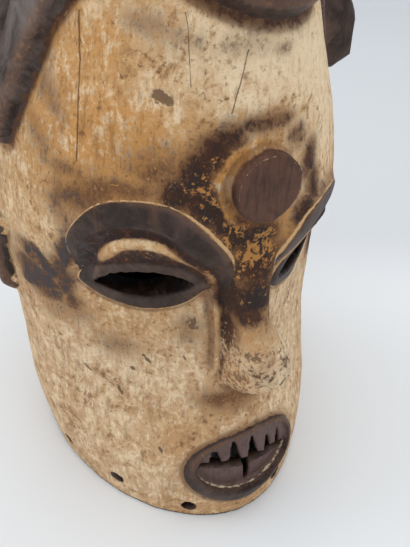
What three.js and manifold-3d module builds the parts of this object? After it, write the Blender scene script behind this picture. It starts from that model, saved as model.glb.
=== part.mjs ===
// A two-faced helmet mask, carved from one log and worn over the head: millimetres, +Z up,
// the front face towards -Y, the rim flat on the floor and the origin under its middle.
import * as THREE from 'three';
import { mergeVertices } from 'three/addons/utils/BufferGeometryUtils.js';
import Module from 'manifold-3d';

const wasm = await Module();
wasm.setup();

// The plain form: level sections of the log from the rim to the top of the brow, each an oval
// with slightly flattened quarters. The skull narrows sideways as it rises, but not front to back.
const sections = [
  { height: 0, halfWidth: 93, halfDepth: 129 },
  { height: 45, halfWidth: 99, halfDepth: 128 },
  { height: 95, halfWidth: 99, halfDepth: 118 },
  { height: 145, halfWidth: 101, halfDepth: 118 },
  { height: 175, halfWidth: 101, halfDepth: 122 },
  { height: 200, halfWidth: 100, halfDepth: 126 },
  { height: 240, halfWidth: 92, halfDepth: 126 },
  { height: 282, halfWidth: 76, halfDepth: 124 },
  { height: 326, halfWidth: 62, halfDepth: 122 },
];
const ovalPower = 1.86;
const crown = { spring: 290, top: 338, power: 2.2 };
const wall = 13;
const cavity = { spring: 262, top: 308, power: 2.2 };

// The cheeks and eyes lie back from the forehead, most of all at a turn between the nose and the ear.
const cheekHollow = { depth: 11.5, bottom: 15, deepest: 138, eyes: 165, brow: 206 };
const hollowTurns = { shareAtNose: 0.45, full: 30, fading: 38, gone: 74 };

// Brows, eyes, nose and mouth stand or are cut at a distance across from the middle and a height.
// The two sides differ a little, because they were carved by eye.
const brow = { halfBand: 7, proud: 4.5, endShare: 0.35 };
const brows = [
  { across: -44.5, height: 183, halfLength: 32.5, rise: 36.5 },
  { across: 47, height: 180, halfLength: 33, rise: 27.5 },
];
const eyes = [
  { across: -44.4, height: 172, slant: 13 },
  { across: 47.5, height: 168.5, slant: 11 },
];
const eyeSlit = { halfLength: 22, halfOpening: 11 };
const eyelid = { halfLength: 28, halfHeight: 25, proud: 2.6, lift: 5 };
const lidRim = { halfLength: 24.5, halfHeight: 15.5, halfBand: 3.6, proud: 3.8 };
const nose = {
  top: 192,
  bottom: 104,
  root: { across: 2.5, halfWidth: 13, proud: 5, roundness: 2 },
  tip: { across: 7.5, halfWidth: 16.5, proud: 31, roundness: 3.4 },
};
const disc = { across: 1.8, height: 231, radius: 16.5, proud: 6 };
const mouth = { across: 5.3, height: 44.2, halfWidth: 35.5, halfHeight: 22.5, halfBand: 4.5, proud: 6.5 };
const mouthOpening = { across: 5.6, height: 46.7, halfWidth: 32.5, halfHeight: 19.2 };
const teeth = { count: 6, first: -21, pitch: 11, endWidth: 5.2, rootWidth: 12.6 };
const toothHeights = { root: 69, end: 54, drop: 2.4 };
const lowerBlock = { from: -29, to: 40, bottom: 25, leftTop: 52, rightTop: 39.5 };
const chip = { across: 4.2, halfWidth: 2.4, bottom: 31 };
const inMouth = { proud: 2, thick: 8.5, seat: 2.5 };
const ear = { turn: 80, height: 157, halfHeight: 20, halfWidth: 11, arc: 112 };
const earBand = { halfBand: 4.5, proud: 10, endShare: 0.6 };

// The hair starts in a rolled edge: turns from the middle and heights along its middle line.
const hairRoll = { halfBand: 14, proud: 10, endShare: 0.9 };
const hairline = [
  { turn: 75, height: 234 },
  { turn: 63, height: 292 },
  { turn: 34, height: 318 },
];
const hairPeak = { turn: 3, height: 312 };
const crest = {
  top: 350,
  halfWidth: 124.5,
  halfThickness: 17,
  foot: 246,
  chamfer: 7,
  inside: 70,
  lobe: { top: 270, lean: 3, shoulder: 92, rise: 34 },
};

// Small holes for the cords of a fibre fringe, burnt straight through from the front or the side.
const lashing = { radius: 3.5, reach: 70 };
const lashingHoles = [
  { turn: 21, height: 10, through: 'front' },
  { turn: 47, height: 17, through: 'side' },
  { turn: 70, height: 15, through: 'side' },
];

// How far a raised part reaches into the wood, a cut reaches along the line of sight, and the
// cavity reaches below the rim.
const sunk = 5;
const cut = { start: 60, length: 120 };
const belowRim = 5;

// How finely each shape is faceted.
const facets = {
  log: { around: 40, levels: 15 },
  cavity: { around: 28, levels: 9 },
  brow: 10,
  hair: 20,
  ear: 8,
  mouth: 18,
  lidRim: 14,
  eyelid: { around: 12, rings: 4 },
  nose: 8,
  disc: 20,
  block: 6,
  hole: 8,
  curve: 6,
};

const { clamp, degToRad, lerp, radToDeg, smoothstep } = THREE.MathUtils;

// The size of the section at a height, on a smooth curve through the sections above.
function sizeAt(height, key) {
  let below = 0;
  while (below < sections.length - 2 && height > sections[below + 1].height) below += 1;
  const slope = (i) => {
    const a = sections[Math.max(i - 1, 0)];
    const b = sections[Math.min(i + 1, sections.length - 1)];
    return (b[key] - a[key]) / (b.height - a.height);
  };
  const [low, high] = [sections[below], sections[below + 1]];
  const span = high.height - low.height;
  const t = Math.min((height - low.height) / span, 1);
  const curve = t * t * (3 - 2 * t);
  const swell = slope(below) * t * (1 - t) ** 2 - slope(below + 1) * t * t * (1 - t);
  return low[key] + (high[key] - low[key]) * curve + swell * span;
}

// How far the face lies back at a turn from its midline and a height.
function hollowAt(turn, height) {
  const rise = smoothstep(height, cheekHollow.bottom, cheekHollow.deepest);
  const fall = 1 - smoothstep(height, cheekHollow.eyes, cheekHollow.brow);
  const fromMiddle = radToDeg(Math.asin(Math.min(Math.abs(Math.sin(turn)), 1)));
  const inner = lerp(hollowTurns.shareAtNose, 1, smoothstep(fromMiddle, 0, hollowTurns.full));
  const outer = 1 - smoothstep(fromMiddle, hollowTurns.fading, hollowTurns.gone);
  return cheekHollow.depth * rise * fall * inner * outer;
}

// A dome closes each shape: the share of the section's size that is left at a height. It stops
// just short of nothing, so that every level keeps a size.
function domeAt(height, dome) {
  const almost = 0.9995;
  const rise = (height - dome.spring) / (dome.top - dome.spring);
  return (1 - clamp(rise, 0, almost) ** dome.power) ** (1 / dome.power);
}

const signedPower = (value, power) => Math.sign(value) * Math.abs(value) ** power;

// A point over the plain form, from its turn, its height and how far it stands proud of the
// wood. Turns count from the middle of the front face towards +X.
function skin(turn, height, proud = 0, dome = crown, inset = 0) {
  const share = domeAt(height, dome);
  const halfWidth = (sizeAt(height, 'halfWidth') - inset) * share;
  const halfDepth = (sizeAt(height, 'halfDepth') - inset) * share;
  const across = signedPower(Math.sin(turn), 2 / ovalPower);
  const ahead = signedPower(Math.cos(turn), 2 / ovalPower);
  const normal = new THREE.Vector3(
    signedPower(across, ovalPower - 1) / halfWidth,
    -signedPower(ahead, ovalPower - 1) / halfDepth,
    0,
  ).normalize();
  const point = new THREE.Vector3(halfWidth * across, -halfDepth * ahead, height);
  return point.addScaledVector(normal, proud - hollowAt(turn, height) * share);
}

// The turn at which the front of the plain form stands a given distance across from the midline.
function turnAt(across, height) {
  const share = Math.min(Math.abs(across) / (sizeAt(height, 'halfWidth') * domeAt(height, crown)), 1);
  return Math.sign(across) * Math.asin(share ** (ovalPower / 2));
}

const onFace = (across, height, proud) => skin(turnAt(across, height), height, proud);

// The outward direction of the wood at a turn and height, from points a small step to each side.
function outward(turn, height) {
  const step = 0.02;
  const beside = skin(turn + step, height).sub(skin(turn - step, height));
  const above = skin(turn, height + 1).sub(skin(turn, height - 1));
  return beside.cross(above).normalize();
}

// Moves every point of a geometry to where the function places it.
function bend(geometry, place) {
  const position = geometry.attributes.position;
  for (let i = 0; i < position.count; i += 1) {
    const moved = place(position.getX(i), position.getY(i), position.getZ(i));
    position.setXYZ(i, moved.x, moved.y, moved.z);
  }
  return geometry;
}

// A closed geometry as a solid that can be joined and cut.
function solid(geometry) {
  const bare = geometry.clone();
  bare.deleteAttribute('normal');
  bare.deleteAttribute('uv');
  const weld = 1e-3;
  const merged = mergeVertices(bare, weld);
  return new wasm.Manifold(new wasm.Mesh({
    numProp: 3,
    vertProperties: new Float32Array(merged.attributes.position.array),
    triVerts: new Uint32Array(merged.index.array),
  }));
}

const joined = (solids) => solids.reduce((sum, next) => sum.add(next));

// The log itself: a closed drum bent to the plain form. The cavity is the same drum, one wall
// smaller. The drum's levels are even up its sides and crowd together where the dome closes.
function drum(dome, inset, { around, levels }, foot) {
  const shape = new THREE.CylinderGeometry(1, 1, 1, around, levels);
  const sides = { levels: 0.8, height: 0.84 };
  const rise = (share) => {
    if (share < sides.levels) return (share / sides.levels) * sides.height;
    const onDome = (share - sides.levels) / (1 - sides.levels);
    return lerp(sides.height, 1, Math.sin((onDome * Math.PI) / 2));
  };
  return solid(bend(shape, (x, y, z) => {
    const height = lerp(foot, dome.top, rise(y + 0.5));
    const isMiddleOfEnd = Math.hypot(x, z) < 0.5;
    if (isMiddleOfEnd) return new THREE.Vector3(0, 0, height);
    return skin(Math.atan2(x, z), height, 0, dome, inset);
  }));
}

// A raised band along a route of turns and heights, lower at its edges. Over the last quarter
// towards each end it thins to the given share.
function band(route, steps, { halfBand, proud, endShare }, flatness) {
  const shape = new THREE.BoxGeometry(1, 1, 1, steps, 3, 1);
  const step = 0.01;
  const thinning = 0.25;
  const edgeDrop = 0.75;
  return solid(bend(shape, (x, y, z) => {
    const along = x + 0.5;
    const spot = route.getPoint(along);
    const before = route.getPoint(Math.max(along - step, 0));
    const after = route.getPoint(Math.min(along + step, 1));
    const point = skin(spot.x, spot.y);
    const normal = outward(spot.x, spot.y);
    const forward = skin(after.x, after.y).sub(skin(before.x, before.y)).normalize();
    const sideways = normal.clone().cross(forward).normalize();
    const taper = lerp(endShare, 1, Math.min(along / thinning, (1 - along) / thinning, 1));
    const arch = 1 - edgeDrop * Math.abs(2 * y) ** flatness;
    point.addScaledVector(sideways, 2 * y * halfBand * taper);
    return point.addScaledVector(normal, z > 0 ? proud * taper * arch : -sunk);
  }));
}

// Places a spot of a slanted oval, given along and across it, on the face.
function onOval({ across, height, slant = 0 }, along, up, proud) {
  const tilt = degToRad(slant);
  return onFace(
    across + along * Math.cos(tilt) - up * Math.sin(tilt),
    height + along * Math.sin(tilt) + up * Math.cos(tilt),
    proud,
  );
}

// A raised ring on the face, round an oval.
function ring(oval, steps) {
  const bandSides = 5;
  const middle = 2;
  const shape = new THREE.TorusGeometry(middle, 1, bandSides, steps);
  return solid(bend(shape, (x, y, z) => {
    const angle = Math.atan2(y, x);
    const out = (Math.hypot(x, y) - middle) * oval.halfBand;
    const along = (oval.halfWidth + out) * Math.cos(angle);
    const up = (oval.halfHeight + out) * Math.sin(angle);
    return onOval(oval, along, up, z > 0 ? oval.proud * z : sunk * z);
  }));
}

// A low swelling on the face over an oval.
function swelling(oval, { around, rings }) {
  const shape = new THREE.SphereGeometry(1, around, rings);
  return solid(bend(shape, (x, y, z) => (
    onOval(oval, oval.halfWidth * x, oval.halfHeight * z, y < 0 ? -y * oval.proud : -y * sunk)
  )));
}

// A straight cut through the front wall, with an outline as seen from the front.
function frontCut(outline, { across, height, slant = 0 }) {
  const shape = new THREE.ExtrudeGeometry(outline, {
    depth: cut.length,
    bevelEnabled: false,
    curveSegments: facets.curve,
  });
  shape.rotateZ(degToRad(slant));
  shape.rotateX(Math.PI / 2);
  shape.translate(across, -cut.start, height);
  return solid(shape);
}

function lens({ halfLength, halfOpening }) {
  const outline = new THREE.Shape();
  outline.moveTo(-halfLength, 0);
  outline.quadraticCurveTo(0, -2 * halfOpening, halfLength, 0);
  outline.quadraticCurveTo(0, 2 * halfOpening, -halfLength, 0);
  return outline;
}

// The opening of the mouth, straight through the front wall and wider by a margin.
function mouthPlug(margin) {
  const outline = new THREE.Shape();
  const { halfWidth, halfHeight } = mouthOpening;
  outline.absellipse(0, 0, halfWidth + margin, halfHeight + margin, 0, 2 * Math.PI);
  return frontCut(outline, mouthOpening);
}

function browBand({ across, height, halfLength, rise }) {
  const arc = new THREE.EllipseCurve(across, height, halfLength, rise, Math.PI, 0, true);
  const spots = arc.getPoints(12).map((spot) => new THREE.Vector2(turnAt(spot.x, spot.y), spot.y));
  return band(new THREE.SplineCurve(spots), facets.brow, brow, 4);
}

// The nose: a ridge that widens and rises from between the brows to a broad rounded tip, which
// lies a little to one side.
function noseRidge() {
  const { top, bottom, root, tip } = nose;
  const shape = new THREE.BoxGeometry(1, 1, 1, facets.nose, facets.nose, 1);
  return solid(bend(shape, (x, y, z) => {
    const down = 0.5 - y;
    const side = 2 * x;
    const towardsTip = smoothstep(down, 0.37, 0.75);
    const across = lerp(root.across, tip.across, towardsTip);
    const halfWidth = lerp(root.halfWidth, tip.halfWidth, towardsTip);
    const rise = lerp(root.proud, tip.proud, smoothstep(down, -0.2, 0.85));
    const section = 1 - Math.abs(side) ** lerp(root.roundness, tip.roundness, towardsTip);
    const under = Math.sqrt(1 - 0.75 * smoothstep(down, 0.8, 1));
    const proud = z > 0 ? section * rise * under : -sunk;
    return onFace(across + side * halfWidth, lerp(top, bottom, down), proud);
  }));
}

function foreheadDisc() {
  const shape = new THREE.CylinderGeometry(disc.radius, disc.radius, 1, facets.disc);
  return solid(bend(shape, (x, y, z) => (
    onFace(disc.across + x, disc.height - z, y > 0 ? disc.proud : -sunk)
  )));
}

// The upper teeth are one row with notches between them, and end lower from one to the next.
function upperTeeth() {
  const pieces = [];
  for (let i = 0; i < teeth.count; i += 1) {
    const across = teeth.first + i * teeth.pitch;
    const end = toothHeights.end - i * toothHeights.drop;
    pieces.push(solid(bend(new THREE.BoxGeometry(1, 1, 1), (x, y, z) => onFace(
      across + x * lerp(teeth.endWidth, teeth.rootWidth, y + 0.5),
      lerp(end, toothHeights.root, y + 0.5),
      inMouth.proud - (0.5 - z) * inMouth.thick,
    ))));
  }
  return joined(pieces);
}

// The lower teeth were left as one block, which has a chip out of its upper edge.
function lowerTeeth() {
  const { from, to, bottom, leftTop, rightTop } = lowerBlock;
  const shape = new THREE.BoxGeometry(1, 1, 1, facets.block, 1, 1);
  const block = solid(bend(shape, (x, y, z) => onFace(
    lerp(from, to, x + 0.5),
    lerp(bottom, lerp(leftTop, rightTop, x + 0.5), y + 0.5),
    inMouth.proud - (0.5 - z) * inMouth.thick,
  )));
  const wedge = new THREE.Shape([
    new THREE.Vector2(0, 0),
    new THREE.Vector2(chip.halfWidth, leftTop - chip.bottom),
    new THREE.Vector2(-chip.halfWidth, leftTop - chip.bottom),
  ]);
  return block.subtract(frontCut(wedge, { across: chip.across, height: chip.bottom }));
}

function earCurl(side) {
  const turn = side * degToRad(ear.turn);
  const reach = ear.halfWidth / sizeAt(ear.height, 'halfDepth');
  const end = degToRad(ear.arc);
  const arc = new THREE.EllipseCurve(0, ear.height, reach, ear.halfHeight, -end, end);
  const spots = arc.getPoints(12).map((spot) => new THREE.Vector2(turn + side * spot.x, spot.y));
  return band(new THREE.SplineCurve(spots), facets.ear, earBand, 2);
}

// The rolled edge rises from each temple, arches over the brow and dips to a point between.
function hairEdge() {
  const spotAt = ({ turn, height }, side) => new THREE.Vector2(side * degToRad(turn), height);
  const rightHalf = hairline.map((spot) => spotAt(spot, -1));
  const leftHalf = hairline.map((spot) => spotAt(spot, 1)).reverse();
  const route = new THREE.SplineCurve([...rightHalf, spotAt(hairPeak, 1), ...leftHalf]);
  return band(route, facets.hair, hairRoll, 3);
}

// A low crest runs over the crown from side to side and swells into a chamfered lobe over each
// temple. It is drawn from the middle to one side and used twice.
function hairCrest() {
  const { top, halfWidth, halfThickness, foot, chamfer, inside, lobe } = crest;
  const shoulderTop = lobe.top + lobe.rise;
  const lobeMiddle = lobe.top + lobe.rise / 2;
  const outline = new THREE.Shape();
  outline.moveTo(0, foot);
  outline.lineTo(inside, foot);
  outline.lineTo(halfWidth - 2 * chamfer, foot - chamfer / 2);
  outline.lineTo(halfWidth, foot + chamfer / 2);
  outline.lineTo(halfWidth, lobe.top);
  outline.quadraticCurveTo(halfWidth - lobe.lean, lobeMiddle, lobe.shoulder, shoulderTop);
  outline.quadraticCurveTo(lobe.shoulder / 2, top, 0, top);
  const depth = 2 * halfThickness;
  const shape = new THREE.ExtrudeGeometry(outline, {
    depth,
    bevelEnabled: false,
    curveSegments: facets.curve,
  });
  shape.rotateX(Math.PI / 2);
  shape.translate(0, halfThickness, 0);
  return bothWays(solid(shape));
}

function lashingHole({ turn, height, through }, side) {
  const centre = skin(side * degToRad(turn), height);
  const shape = new THREE.CylinderGeometry(lashing.radius, lashing.radius, lashing.reach, facets.hole);
  if (through === 'side') shape.rotateZ(Math.PI / 2);
  shape.translate(centre.x, centre.y, centre.z);
  return solid(shape);
}

function eyeRelief(eye) {
  const lid = { ...eye, ...eyelid, halfWidth: eyelid.halfLength, height: eye.height + eyelid.lift };
  const rim = { ...eye, ...lidRim, halfWidth: lidRim.halfLength };
  return swelling(lid, facets.eyelid).add(ring(rim, facets.lidRim));
}

function faceRelief() {
  return joined([
    ...brows.map(browBand),
    ...eyes.map(eyeRelief),
    noseRidge(),
    foreheadDisc(),
    ring(mouth, facets.mouth),
    earCurl(-1),
    earCurl(1),
    hairEdge(),
  ]);
}

function faceCuts() {
  const holes = lashingHoles.flatMap((hole) => [lashingHole(hole, -1), lashingHole(hole, 1)]);
  const slits = eyes.map((eye) => frontCut(lens(eyeSlit), eye));
  return joined([...slits, mouthPlug(0), ...holes]);
}

// Upper and lower teeth fill the mouth and are seated a little way into the wood all round it.
function teethInMouth() {
  return upperTeeth().add(lowerTeeth()).intersect(mouthPlug(inMouth.seat));
}

// The back of the mask is its front turned half round.
function bothWays(carved) {
  return carved.add(carved.rotate([0, 0, 180]));
}

function helmetMask() {
  const log = drum(crown, 0, facets.log, 0);
  const hollow = drum(cavity, wall, facets.cavity, -belowRim);
  const carved = joined([log, bothWays(faceRelief()), hairCrest()]);
  const pierced = carved.subtract(hollow).subtract(bothWays(faceCuts()));
  return pierced.add(bothWays(teethInMouth()));
}

function meshOf(carved, name, material) {
  const { vertProperties, triVerts, numProp } = carved.getMesh();
  const geometry = new THREE.BufferGeometry();
  const points = new Float32Array(vertProperties.length / numProp * 3);
  for (let i = 0; i < points.length / 3; i += 1) {
    for (let k = 0; k < 3; k += 1) points[i * 3 + k] = vertProperties[i * numProp + k];
  }
  geometry.setAttribute('position', new THREE.BufferAttribute(points, 3));
  geometry.setIndex(new THREE.BufferAttribute(new Uint32Array(triVerts), 1));
  geometry.computeVertexNormals();
  const mesh = new THREE.Mesh(geometry, material);
  mesh.name = name;
  return mesh;
}

const chalkedWood = new THREE.MeshStandardMaterial({ color: 0xc9a679, roughness: 0.8, metalness: 0 });

const mask = new THREE.Group();
mask.add(meshOf(helmetMask(), 'helmet_mask', chalkedWood));

export default mask;
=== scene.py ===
# %% [markdown]
# # A carved two-faced helmet mask
# The object is a wooden mask that is worn over the head like a helmet, with one face in front
# and another behind. It was carved from a single log, then chalked, painted and smoked. A
# carving has no parts to assemble, so this lesson builds it as one sculpted surface: the shape
# is written as distances in millimetres, on a grid, and then meshed in one go.

# %% The frame, and the tools used below
import math

import bpy
import numpy as np
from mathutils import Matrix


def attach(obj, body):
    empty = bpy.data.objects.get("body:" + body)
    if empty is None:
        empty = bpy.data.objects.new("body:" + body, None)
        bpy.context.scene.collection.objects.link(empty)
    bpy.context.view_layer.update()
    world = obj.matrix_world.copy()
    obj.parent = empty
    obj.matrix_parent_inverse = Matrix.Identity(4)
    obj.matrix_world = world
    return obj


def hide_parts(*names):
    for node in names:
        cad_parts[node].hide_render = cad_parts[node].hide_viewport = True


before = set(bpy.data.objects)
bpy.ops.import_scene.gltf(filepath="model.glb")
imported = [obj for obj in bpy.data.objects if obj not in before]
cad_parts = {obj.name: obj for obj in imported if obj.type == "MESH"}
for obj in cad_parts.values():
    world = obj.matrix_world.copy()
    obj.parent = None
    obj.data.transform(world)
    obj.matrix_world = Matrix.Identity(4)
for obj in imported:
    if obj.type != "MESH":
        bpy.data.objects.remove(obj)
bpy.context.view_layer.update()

import openvdb
from mathutils import Matrix, Vector

MM = 0.001

# %% [markdown]
# ## The plain form
# A carver first roughs the log out to a plain form and only then cuts features into it. Here
# that form is a table of level sections, each an oval with slightly flattened quarters, and a
# smooth curve through them. A dome closes the crown, and the eyes and cheeks lie back from it.

# %% Sections of the log
SECTIONS = np.array([
    # height, half width, half depth, in millimetres
    (0, 93, 129),
    (45, 99, 128),
    (95, 99, 118),
    (145, 101, 118),
    (175, 101, 122),
    (200, 100, 126),
    (240, 92, 126),
    (282, 76, 124),
    (326, 62, 122),
], dtype=float)
OVAL_POWER = 1.86
CROWN = {"spring": 290.0, "top": 338.0, "power": 2.2}
CAVITY = {"spring": 262.0, "top": 308.0, "power": 2.2}
WALL = 13.0
print(len(SECTIONS), "sections, up to", round(2 * SECTIONS[:, 1].max()), "mm wide")


def size_at(height, column):
    """Half width (column 1) or half depth (column 2) of the section at each height."""
    z, v = SECTIONS[:, 0], SECTIONS[:, column]
    slope = np.empty(len(z))
    slope[1:-1] = (v[2:] - v[:-2]) / (z[2:] - z[:-2])
    slope[[0, -1]] = (v[[1, -1]] - v[[0, -2]]) / (z[[1, -1]] - z[[0, -2]])
    h = np.clip(height, z[0], z[-1])
    i = np.clip(np.searchsorted(z, h, side="right") - 1, 0, len(z) - 2)
    span = z[i + 1] - z[i]
    t = (h - z[i]) / span
    swell = slope[i] * t * (1 - t) ** 2 - slope[i + 1] * t * t * (1 - t)
    return v[i] + (v[i + 1] - v[i]) * t * t * (3 - 2 * t) + swell * span


def dome(height, shape):
    """Share of the section's size that is left at a height, as a dome closes the form."""
    rise = np.clip((height - shape["spring"]) / (shape["top"] - shape["spring"]), 0, 0.999)
    return (1 - rise ** shape["power"]) ** (1 / shape["power"])


def step(value, start, end):
    """0 at start, 1 at end and a smooth rise between, in either direction."""
    t = np.clip((value - start) / (end - start), 0, 1)
    return t * t * (3 - 2 * t)


# %% [markdown]
# The eyes and cheeks lie back from the forehead, most of all at the height of the cheek and at
# a turn between the nose and the ear. From here on, the distance of any spot in space from this
# form can be found, and that is what all the carving is measured from.

# %% Distance from the plain form
CHEEK_HOLLOW = {"depth": 11.5, "chin": 15, "cheek": 138, "eyes": 165, "brow": 206}
HOLLOW_TURNS = {"share_at_nose": 0.45, "full": 30, "fading": 38, "gone": 74}


def face_hollow(turn, height):
    """How far the eyes and cheeks lie back, in millimetres."""
    side = np.degrees(np.arcsin(np.clip(np.abs(np.sin(turn)), 0, 1)))
    rise = step(height, CHEEK_HOLLOW["chin"], CHEEK_HOLLOW["cheek"])
    fall = 1 - step(height, CHEEK_HOLLOW["eyes"], CHEEK_HOLLOW["brow"])
    at_nose = HOLLOW_TURNS["share_at_nose"]
    inner = at_nose + (1 - at_nose) * step(side, 0, HOLLOW_TURNS["full"])
    outer = 1 - step(side, HOLLOW_TURNS["fading"], HOLLOW_TURNS["gone"])
    return CHEEK_HOLLOW["depth"] * rise * fall * inner * outer


def plain_form(x, y, z, inset=0.0, shape=CROWN):
    """Level distance outside the plain form, and the turn of the nearest spot on it."""
    share = dome(z, shape)
    width = (size_at(z, 1) - inset) * share
    depth = (size_at(z, 2) - inset) * share
    u, v = np.abs(x) / width + 1e-6, np.abs(y) / depth + 1e-6
    g = (u ** OVAL_POWER + v ** OVAL_POWER) ** (1 / OVAL_POWER)
    across = (u / g) ** (OVAL_POWER - 1) / width
    ahead = (v / g) ** (OVAL_POWER - 1) / depth
    slope = np.sqrt(across ** 2 + ahead ** 2)
    away = (g - 1) / slope
    foot_u = np.clip(u - away * across / slope / width, 0, None)
    foot_v = np.clip(v - away * ahead / slope / depth, 0, None)
    turn = np.sign(x) * np.arctan2(foot_u ** (OVAL_POWER / 2), foot_v ** (OVAL_POWER / 2))
    return away + face_hollow(turn, z) * share, turn


print("the log is about", round(2 * size_at(160.0, 1)), "mm wide and",
      round(2 * size_at(160.0, 2)), "mm deep at the eyes")

# %% [markdown]
# ## A map of the skin
# The carving is shallow, so it can be drawn on a map of the front half of the drum: columns
# go round it and rows go up it. One layer of the map holds how far each spot stands proud, and
# others hold where the paint is. Every cell knows its place in space, so distances measured on
# the map are real millimetres, also where the form curves away.

# %% The map's grid and its places in space
MAP = {"columns": 521, "row_height": 0.7, "top": 350}
TURNS = np.radians(np.linspace(-90, 90, MAP["columns"]))
HEIGHTS = np.arange(0, MAP["top"], MAP["row_height"])


def skin(turn, height):
    """The place in space of a turn and a height on the plain form."""
    share = dome(height, CROWN)
    width, depth = size_at(height, 1) * share, size_at(height, 2) * share
    sine, cosine = np.sin(turn), np.cos(turn)
    across = np.sign(sine) * np.abs(sine) ** (2 / OVAL_POWER)
    ahead = np.abs(cosine) ** (2 / OVAL_POWER)
    normal_x = np.sign(across) * np.abs(across) ** (OVAL_POWER - 1) / width
    normal_y = -ahead ** (OVAL_POWER - 1) / depth
    back = face_hollow(turn, height) * share / np.hypot(normal_x, normal_y)
    x = width * across - normal_x * back
    y = -depth * ahead - normal_y * back
    return np.stack([x, y, height + 0 * x], -1)


def turn_at(across, height):
    """The turn at which the front of the form stands that far from its midline."""
    share = np.abs(across) / (size_at(height, 1) * dome(height, CROWN))
    return np.sign(across) * np.arcsin(np.clip(share, 0, 1) ** (OVAL_POWER / 2))


PLACE = skin(*np.meshgrid(TURNS, HEIGHTS)).astype(np.float32)
X, Z = PLACE[..., 0], PLACE[..., 2]
TURN_DEGREES = np.degrees(TURNS) + 0 * X
print("the map has", X.shape[0], "rows and", X.shape[1], "columns")

# %% [markdown]
# Many features follow a line, such as a brow or the edge of the hair. These helpers draw a
# smooth line through a few points on the skin, and find how far every cell lies from it, on
# which side, and how far along.

# %% Lines on the map
def smooth_line(points, count):
    """Evenly spread points on a smooth curve through a few given ones."""
    points = np.asarray(points, float)
    gaps = np.linalg.norm(np.diff(points, axis=0), axis=1)
    at = np.concatenate([[0], np.cumsum(gaps)]) / gaps.sum()
    tangent = np.gradient(points, at, axis=0)
    t = np.linspace(0, 1, count)
    i = np.clip(np.searchsorted(at, t, side="right") - 1, 0, len(at) - 2)
    span = (at[i + 1] - at[i])[:, None]
    u = ((t - at[i]) / span[:, 0])[:, None]
    swell = tangent[i] * u * (1 - u) ** 2 - tangent[i + 1] * u * u * (1 - u)
    return points[i] + (points[i + 1] - points[i]) * u * u * (3 - 2 * u) + swell * span


def face_line(points, count=48):
    """A line through (across, height) points on the face, as places in space."""
    points = smooth_line(points, count)
    return skin(turn_at(points[:, 0], points[:, 1]), points[:, 1])


def turn_line(points, count=80):
    """A line through (turn in degrees, height) points, as places in space."""
    points = smooth_line(points, count)
    return skin(np.radians(points[:, 0]), points[:, 1])


def from_line(line, reach=30):
    """Distance from a line, positive on its upper or rear side, and the share along it."""
    near = ((PLACE >= line.min(0) - reach) & (PLACE <= line.max(0) + reach)).all(-1)
    cells = PLACE[near]
    best = np.full(len(cells), 1e9)
    side, where = np.ones(len(cells)), np.zeros(len(cells))
    last = len(line) - 1
    for k in range(last):
        start, run = line[k], line[k + 1] - line[k]
        t = np.clip((cells - start) @ run / (run @ run), 0, 1)
        gap = cells - start - t[:, None] * run
        square = (gap ** 2).sum(1)
        closer = square < best
        left = np.cross(start * (1, 1, 0), run)
        best[closer] = square[closer]
        side[closer] = np.where(gap[closer] @ left < 0, -1, 1)
        where[closer] = (k + t[closer]) / last
    away = np.full(X.shape, 1e3)
    along = np.zeros(X.shape)
    away[near] = np.sqrt(best) * side
    along[near] = where
    return away, along


midline = face_line([(0, 10), (0, 150), (0, 290)])
midline_length = np.linalg.norm(np.diff(midline, axis=0), axis=1).sum()
print("the face is", round(float(midline_length)), "mm long from chin to hair, measured on the skin")

# %% [markdown]
# Other features are ovals, such as the lips, almonds, such as the eyes, or outlines with
# corners. Their helpers give a distance too, so the same few steps can turn any of them into a
# raised edge, a groove or a patch of paint.

# %% Ovals, almonds and outlines
def oval(across, height, half_width, half_height, slant=0.0):
    """Distance outside (positive) or inside (negative) an oval on the face, and the angle."""
    c, s = math.cos(math.radians(slant)), math.sin(math.radians(slant))
    u = (X - across) * c + (Z - height) * s
    v = (Z - height) * c - (X - across) * s
    ring = np.hypot(u / half_width, v / half_height) + 1e-6
    pull = np.hypot(u / half_width ** 2, v / half_height ** 2) / ring + 1e-6
    return (ring - 1) / pull, np.arctan2(v / half_height, u / half_width)


def almond(x, z, across, height, half_length, above, below, slant=0.0):
    """Distance outside an almond with pointed ends, which an upper and a lower arc bound."""
    c, s = math.cos(math.radians(slant)), math.sin(math.radians(slant))
    u = (x - across) * c + (z - height) * s
    v = (z - height) * c - (x - across) * s
    rise = np.where(v > 0, above, below)
    radius = (half_length ** 2 + rise ** 2) / (2 * rise)
    return np.hypot(u, np.abs(v) + radius - rise) - radius


def outline_distance(x, z, corners):
    """Distance outside a closed outline in the plane of x and z."""
    best = np.full(np.broadcast(x, z).shape, 1e9)
    inside_odd = np.zeros(best.shape, bool)
    for a, b in zip(corners, np.roll(corners, -1, axis=0)):
        run = b - a
        t = np.clip(((x - a[0]) * run[0] + (z - a[1]) * run[1]) / (run @ run + 1e-9), 0, 1)
        best = np.minimum(best, np.hypot(x - a[0] - t * run[0], z - a[1] - t * run[1]))
        if b[1] != a[1]:
            crosses = (z >= min(a[1], b[1])) & (z < max(a[1], b[1]))
            inside_odd ^= crosses & (x < a[0] + (z - a[1]) / (b[1] - a[1]) * run[0])
    return np.where(inside_odd, -best, best)


forehead, _ = oval(0, 250, 40, 40)
print("an oval 80 mm across on the forehead has", int((forehead < 0).sum()), "cells")

# %% [markdown]
# Slow random swells, of a fixed seed each, stand for the uneven hand of the carver. It is about
# 330 mm round the front half of the log. The map then starts as a few empty layers: the relief,
# how deep inside the dark paint a cell lies, the smoke together with painted shade, and where an
# edge has a pale line, partly worn and partly a painted highlight.

# %% Random swells, and the empty layers
HALF_ROUND = 330


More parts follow.
